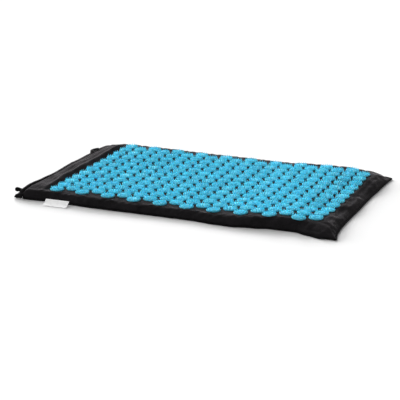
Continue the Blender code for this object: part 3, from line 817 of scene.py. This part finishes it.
def makeLip():
    noise.seed_set(lipShape["seed"])   # noise_vector draws its crumples from this
    shape = lipShape
    edge = coverRows[0]
    last = len(edge) - 1
    rows = []
    for k in range(shape["steps"] + 1):
        share = k / shape["steps"]
        row = []
        for j in range(1, last):
            fromNear = edge[j].y - edge[0].y
            fromFar = edge[last].y - edge[j].y
            ear = hump(fromNear, shape["earIn"], shape["earWidth"])
            reach = shape["reach"] * (0.45 + 0.55 * ease(min(fromNear, fromFar) / 0.02))
            reach += shape["earReach"] * ear
            ripple = 1 + 0.12 * waver(edge[j].y * 30, 4.2, 0)
            nearEnd = ease((-edge[j].y - 0.045) / 0.06)
            lift = readTable(shape["profile"], share) * (0.15 + 0.85 * nearEnd)
            # beyond the groove in the cover the lip comes up again
            beyond = coverShape["groove"] * ease(share / 0.25) * ease((-edge[j].y - 0.115) / 0.05)
            lift += beyond * (1 - ear)
            shift = -shape["earShift"] * ear * share
            spot = edge[j] + Vector((-0.0002 - reach * ripple * share, shift, lift))
            earTop = shape["earTop"] + (shape["earTip"] - shape["earTop"]) * share ** 2.5
            drop = ease(1.4 * hump(fromNear, 0.0, shape["dropWidth"]))
            spot.z += (earTop - spot.z) * drop * ease(share / 0.2)
            crumple = noise.noise_vector(spot * shape["crumpleScale"]) * shape["crumple"]
            spot += crumple * share * (0.25 + 0.6 * ear)
            spot.z = max(spot.z, shape["lowest"])
            row.append(spot)
        rows.append(row)
    rows.reverse()
    lip = clothGrid(rows)

    def inEar(co, middle, width):
        fromRoot = min(1.0, max(0.0, shape["root"] - co.x) / shape["rootRun"])
        return hump(co.y - edge[0].y, middle, width) * fromRoot

    # the ear is cloth folded several times over, so it is thicker than the lip
    bulk = lip.vertex_groups.new(name="bulk")
    thin = shape["thickness"] / shape["earBulk"]
    for vert in lip.data.vertices:
        ear = inEar(vert.co, shape["earIn"], shape["earWidth"])
        bulk.add([vert.index], thin + (1 - thin) * ear, "REPLACE")
    topCount = len(lip.data.vertices)
    thickenCloth(lip, shape["earBulk"], group="bulk")

    # only the near part of the ear sags to the floor: the knob swings past behind it
    def sagShare(co):
        return ease(1.5 * inEar(co, shape["sagAt"], shape["sagWidth"]))

    for vert in lip.data.vertices[topCount:]:
        vert.co.z += (shape["sagFloor"] - vert.co.z) * sagShare(vert.co)
    pickOnly(lip)
    bpy.ops.object.mode_set(mode="EDIT")
    for height in shape["cuts"]:
        bpy.ops.mesh.select_all(action="SELECT")
        bpy.ops.mesh.bisect(plane_co=(0, 0, height), plane_no=(0, 0, 1))
    bpy.ops.object.mode_set(mode="OBJECT")
    for vert in lip.data.vertices:
        fold = noise.noise_vector(vert.co * Vector(shape["foldScale"])) * shape["fold"]
        vert.co += fold * sagShare(vert.co) * ease(vert.co.z / 0.003)
        vert.co.z = max(vert.co.z, shape["foldFloor"])
    smoothPiece(lip, 60)
    finishPiece(lip, "zipLip", blackCotton, "mat", "cover_cotton", "zip_flap")


makeLip()
print("lip made")


# Topstitching along the lip: one thread, in at one hole and out at the next
stitchShape = {
    "pitch": 0.0040, "length": 0.0031, "radius": 0.00032, "inset": 0.55, "rise": 0.00030,
    "start": -0.165, "run": 0.350, "steps": 6, "sides": 6,
    "lowest": 0.006,       # no stitch where the lip lies lower
    "above": 0.0001,
}


def makeStitch():
    points = []
    for n in range(stitchShape["steps"] + 1):
        share = n / stitchShape["steps"]
        points.append(Vector((0, stitchShape["length"] * (share - 0.5),
                              stitchShape["rise"] * (math.sin(math.pi * share) - 0.6))))
    stitch = tubeAlong(points, [stitchShape["radius"]] * len(points), stitchShape["sides"])
    smoothPiece(stitch, 60)
    return stitch


def makeLipStitches(lip):
    # each stitch lies where a line straight down meets the lip
    shape = stitchShape
    pattern = makeStitch()
    copies = []
    x = coverShape["left"] - lipShape["reach"] * shape["inset"]
    for n in range(round(shape["run"] / shape["pitch"])):
        y = shape["start"] + shape["pitch"] * n
        hit, spot, normal, _ = lip.ray_cast(Vector((x, y, 0.05)), Vector((0, 0, -1)))
        if not hit or spot.z < shape["lowest"]:
            continue
        lean = Vector((0, 0, 1)).rotation_difference(normal).to_matrix().to_4x4()
        copies.append(copyPiece(pattern, Matrix.Translation(spot + normal * shape["above"]) @ lean))
    row = joinPieces(copies)
    applyAll(row)
    finishPiece(row, "lipStitching", blackThread, "mat", "binding")
    bpy.data.objects.remove(pattern, do_unlink=True)


makeLipStitches(bpy.data.objects["zipLip"])
print("lip stitched")


# Zip under the lip: two woven tapes and two rows of nylon teeth
zipShape = {
    "x": -0.31377, "z": 0.0068, "half": 0.180, "tapeHalf": 0.183, "tapeThickness": 0.0006,
    "tapeTop": 0.0117, "tapeFoot": 0.0014, "tapeCells": (4, 92), "sway": 0.0001, "gap": 0.0005,
    "rowX": -0.31517, "rowDepth": 0.0016, "rowHeight": 0.0020,
    "toothPitch": 0.0016, "toothWidth": 0.0011, "toothRound": 0.00032, "firstTooth": 0.55,
}


def makeTape(name, low, high, node):
    shape = zipShape
    upCells, alongCells = shape["tapeCells"]
    rows = []
    for k in range(upCells + 1):
        z = low + (high - low) * k / upCells
        row = []
        for n in range(alongCells + 1):
            y = -shape["tapeHalf"] + 2 * shape["tapeHalf"] * n / alongCells
            sway = shape["sway"] * waver(y * 60, z * 200, 1.3)
            row.append(Vector((shape["x"] - shape["tapeThickness"] / 2 + sway, y, z)))
        rows.append(row)
    rows.reverse()
    tape = clothGrid(rows)
    thickenCloth(tape, shape["tapeThickness"])
    finishPiece(tape, name, wovenTape, "mat", "zip_tape", node)


def makeTooth():
    # one wrap of the coil: a small block whose long edges are rounded
    shape = zipShape
    pickNothing()
    sides = (shape["rowDepth"], shape["toothWidth"], shape["rowHeight"])
    bpy.ops.mesh.primitive_cube_add(size=1, scale=sides)
    tooth = bpy.context.object
    bpy.ops.object.transform_apply(scale=True)
    pickOnly(tooth)
    bpy.ops.object.mode_set(mode="EDIT")
    bpy.ops.mesh.select_all(action="SELECT")
    bpy.ops.mesh.bevel(offset=shape["toothRound"], segments=2, affect="EDGES")
    bpy.ops.object.mode_set(mode="OBJECT")
    smoothPiece(tooth, 60)
    tooth.name = "toothPattern"
    return tooth


def makeTeeth(pattern, name, middle, shift, node):
    shape = zipShape
    count = int(2 * shape["half"] / shape["toothPitch"]) - 1
    copies = []
    for n in range(count):
        y = -shape["half"] + shape["toothPitch"] * (n + shape["firstTooth"] + shift)
        copies.append(copyPiece(pattern, Matrix.Translation((shape["rowX"], y, middle))))
    row = joinPieces(copies)
    applyAll(row)
    finishPiece(row, name, blackNylon, "mat", "zip_teeth", node)


makeTape("upperZipTape", zipShape["z"] + zipShape["gap"], zipShape["tapeTop"], "zip_tape_upper")
makeTape("lowerZipTape", zipShape["tapeFoot"], zipShape["z"] - zipShape["gap"], "zip_tape_lower")
toothPattern = makeTooth()
rowMiddle = zipShape["gap"] + zipShape["rowHeight"] / 2
makeTeeth(toothPattern, "upperZipTeeth", zipShape["z"] + rowMiddle, 0.0, "zip_teeth_upper")
makeTeeth(toothPattern, "lowerZipTeeth", zipShape["z"] - rowMiddle, 0.5, "zip_teeth_lower")
bpy.data.objects.remove(toothPattern, do_unlink=True)
for node in ("zip_stop_near", "zip_stop_far", "zip_slider", "zip_pull_link"):
    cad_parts[node].data.materials[0] = blackEnamel
print("zip made")


# Pull: a braided cord through the link, and a turned rubber knob
pullShape = {
    "pivot": (-0.31857, -0.1735, 0.0068), "link": 0.0077, "cord": 0.0009, "cordSides": 10,
    "turn": 0.0018, "turnSteps": 12, "run": 0.0055,
    "knobLength": 0.0155, "knobRadius": 0.0044, "knobSides": 28, "sink": 0.0003,
    "knobProfile": ((0.00, 0.52), (0.05, 0.60), (0.15, 0.64), (0.28, 0.72), (0.42, 0.85), (0.56, 0.96),
                    (0.70, 1.0), (0.84, 0.95), (0.94, 0.72), (1.0, 0.25)),
}


def makePull():
    shape = pullShape
    pivot = Vector(shape["pivot"])
    end = -shape["link"] - shape["run"]
    points = [pivot + Vector((end, shape["turn"], 0))]
    for n in range(shape["turnSteps"] + 1):
        angle = math.pi / 2 - math.pi * n / shape["turnSteps"]
        points.append(pivot + Vector((-shape["link"] + math.cos(angle) * shape["turn"],
                                      math.sin(angle) * shape["turn"], 0)))
    points.append(pivot + Vector((end, -shape["turn"], 0)))
    cord = tubeAlong(points, [shape["cord"]] * len(points), shape["cordSides"])
    smoothPiece(cord, 60)
    finishPiece(cord, "pullCord", braidedCord, "pull", "pull_cord", "zip_pull_cord")

    start = pivot + Vector((end - shape["sink"], 0, 0))
    profile = shape["knobProfile"]
    pickNothing()
    bpy.ops.mesh.primitive_circle_add(
        vertices=shape["knobSides"], radius=shape["knobRadius"] * profile[0][1],
        fill_type="NGON", rotation=(0, math.pi / 2, 0), location=start)
    knob = bpy.context.object
    bpy.ops.object.transform_apply(location=True, rotation=True)
    bpy.ops.object.mode_set(mode="EDIT")
    bpy.ops.mesh.select_all(action="SELECT")
    for (low, thin), (high, wide) in zip(profile, profile[1:]):
        run = -shape["knobLength"] * (high - low)
        bpy.ops.mesh.extrude_region_move(TRANSFORM_OT_translate={"value": (run, 0, 0)})
        share = wide / thin
        bpy.ops.transform.resize(value=(1, share, share), center_override=(0, start.y, start.z))
    bpy.ops.mesh.select_all(action="SELECT")
    bpy.ops.mesh.normals_make_consistent(inside=False)
    bpy.ops.object.mode_set(mode="OBJECT")
    smoothPiece(knob, 50)
    finishPiece(knob, "pullKnob", softRubber, "pull", "pull_rubber", "zip_pull_knob")


makePull()
print("pull made")


# Hanging loop: a strip of webbing on its edge, bowed out over the lip
loopShape = {
    "rootX": -0.3184, "middleY": 0.131, "span": 0.026, "reach": 0.0120, "foot": 0.0130,
    "width": 0.0056, "thickness": 0.0016, "power": 0.6, "steps": 36, "widthCells": 4,
    "sag": 0.0018, "lean": 0.0010, "round": 0.0003,
}


def makeLoop():
    shape = loopShape
    rows = []
    for n in range(shape["steps"] + 1):
        angle = math.pi * n / shape["steps"]
        bow = math.sin(angle) ** shape["power"] if 0 < n < shape["steps"] else 0.0
        x = shape["rootX"] - shape["reach"] * bow
        y = shape["middleY"] - shape["span"] / 2 * math.cos(angle)
        row = []
        for k in range(shape["widthCells"] + 1):
            z = shape["foot"] + shape["width"] * k / shape["widthCells"] - shape["sag"] * bow
            row.append(Vector((x + shape["lean"] * bow * k / shape["widthCells"], y, z)))
        rows.append(row)
    loop = clothGrid(rows)
    thickenCloth(loop, shape["thickness"], 0.0)
    pickOnly(loop)
    bpy.ops.object.modifier_add(type="BEVEL")
    loop.modifiers[-1].width = shape["round"]
    loop.modifiers[-1].segments = 2
    applyAll(loop)
    smoothPiece(loop, 60)
    finishPiece(loop, "hangLoop", webbing, "mat", "webbing", "hang_loop")


makeLoop()


# Side label: a bare strip of satin ribbon that leaves the near wall and comes down to the floor
labelShape = {
    "left": -0.260, "width": 0.050, "rootY": -0.2092, "rootZ": 0.0066, "foot": 0.0010, "reach": 0.0245,
    "skew": 0.0055, "curl": 0.0006, "thickness": 0.0006, "power": 1.5, "cells": (24, 14),
}


def makeLabel():
    shape = labelShape
    xCells, yCells = shape["cells"]
    rows = []
    for i in range(xCells + 1):
        row = []
        for j in range(yCells + 1):
            share = j / yCells
            z = shape["foot"] + (shape["rootZ"] - shape["foot"]) * (1 - share) ** shape["power"]
            curl = shape["curl"] * share * (2 * i / xCells - 1) ** 2
            row.append(Vector((shape["left"] + shape["width"] * i / xCells + shape["skew"] * share,
                               shape["rootY"] - shape["reach"] * share, z + curl)))
        rows.append(list(reversed(row)))
    label = clothGrid(rows)
    thickenCloth(label, shape["thickness"])
    smoothPiece(label, 50)
    finishPiece(label, "sideLabel", whiteSatin, "mat", "label_ribbon", "side_label")


makeLabel()
print("loop and label made")


# Floor, light and camera. Two low lamps stand behind the mat, as the photograph's shadow says,
# and a wide one stands in front
studio = {
    "left": 5.0, "leftAngle": 17, "leftTurn": (73.5, 0, 211),
    "side": 3.5, "sideAngle": 22, "sideTurn": (74.5, 0, 245),
    "fill": 0.5, "fillAngle": 60, "fillTurn": (45, 0, -40),
    "room": 0.27, "floor": "#f4f4f4", "floorGlow": 0.02, "floorDrop": 0.0002,
}


def seenRays(tree):
    # 1 for rays that reach the eye straight, mirrored or through glass, and 0 for the rest
    path = addNode(tree, "ShaderNodeLightPath")
    seen = addNode(tree, "ShaderNodeMath", {0: path.outputs["Is Camera Ray"],
                                            1: path.outputs["Is Glossy Ray"]}, operation="MAXIMUM")
    seenToo = addNode(tree, "ShaderNodeMath", {0: seen.outputs[0],
                                               1: path.outputs["Is Transmission Ray"]},
                      operation="MAXIMUM")
    return seenToo.outputs[0]


def makeStudio():
    pickNothing()
    bpy.ops.mesh.primitive_plane_add(size=30, location=(0, 6, -studio["floorDrop"]))
    floor = bpy.context.object
    bpy.ops.object.transform_apply(location=True)
    floor.name = "floor"
    made, tree, shader = startMaterial("paleFloor")
    shader.inputs["Base Color"].default_value = hexColour(studio["floor"])
    shader.inputs["Roughness"].default_value = 1.0
    shader.inputs["Specular IOR Level"].default_value = 0.0
    glow = addNode(tree, "ShaderNodeMath", {0: seenRays(tree), 1: studio["floorGlow"]},
                   operation="MULTIPLY")
    shader.inputs["Emission Color"].default_value = (1, 1, 1, 1)
    tree.links.new(glow.outputs[0], shader.inputs["Emission Strength"])
    floor.data.materials.append(made)

    world = bpy.data.worlds.new("studio")
    bpy.context.scene.world = world
    world.use_nodes = True
    nodes = world.node_tree
    back = nodes.nodes["Background"]
    level = addNode(nodes, "ShaderNodeMapRange", {0: seenRays(nodes), 3: studio["room"], 4: 1.0})
    back.inputs["Color"].default_value = (1, 1, 1, 1)
    nodes.links.new(level.outputs[0], back.inputs["Strength"])

    # the lamps leave no glare, as the photograph shows none
    for name in ("left", "side", "fill"):
        lamp = bpy.data.lights.new(name, "SUN")
        lamp.energy = studio[name]
        lamp.angle = math.radians(studio[name + "Angle"])
        stand = bpy.data.objects.new(name + "Lamp", lamp)
        bpy.context.collection.objects.link(stand)
        stand.rotation_euler = [math.radians(angle) for angle in studio[name + "Turn"]]
        stand.visible_glossy = False


makeStudio()
view = {"lens": 122.94, "place": (0.96143, -2.45214, 0.76086), "turn": (73.4017, -0.179, 21.9199)}
lens = bpy.data.cameras.new("camera")
lens.lens = view["lens"]
lens.sensor_width = 36
camera = bpy.data.objects.new("camera", lens)
bpy.context.collection.objects.link(camera)
camera.location = view["place"]
camera.rotation_euler = [math.radians(angle) for angle in view["turn"]]
bpy.context.scene.camera = camera
bpy.context.scene.view_settings.view_transform = "Standard"

print("scene made")
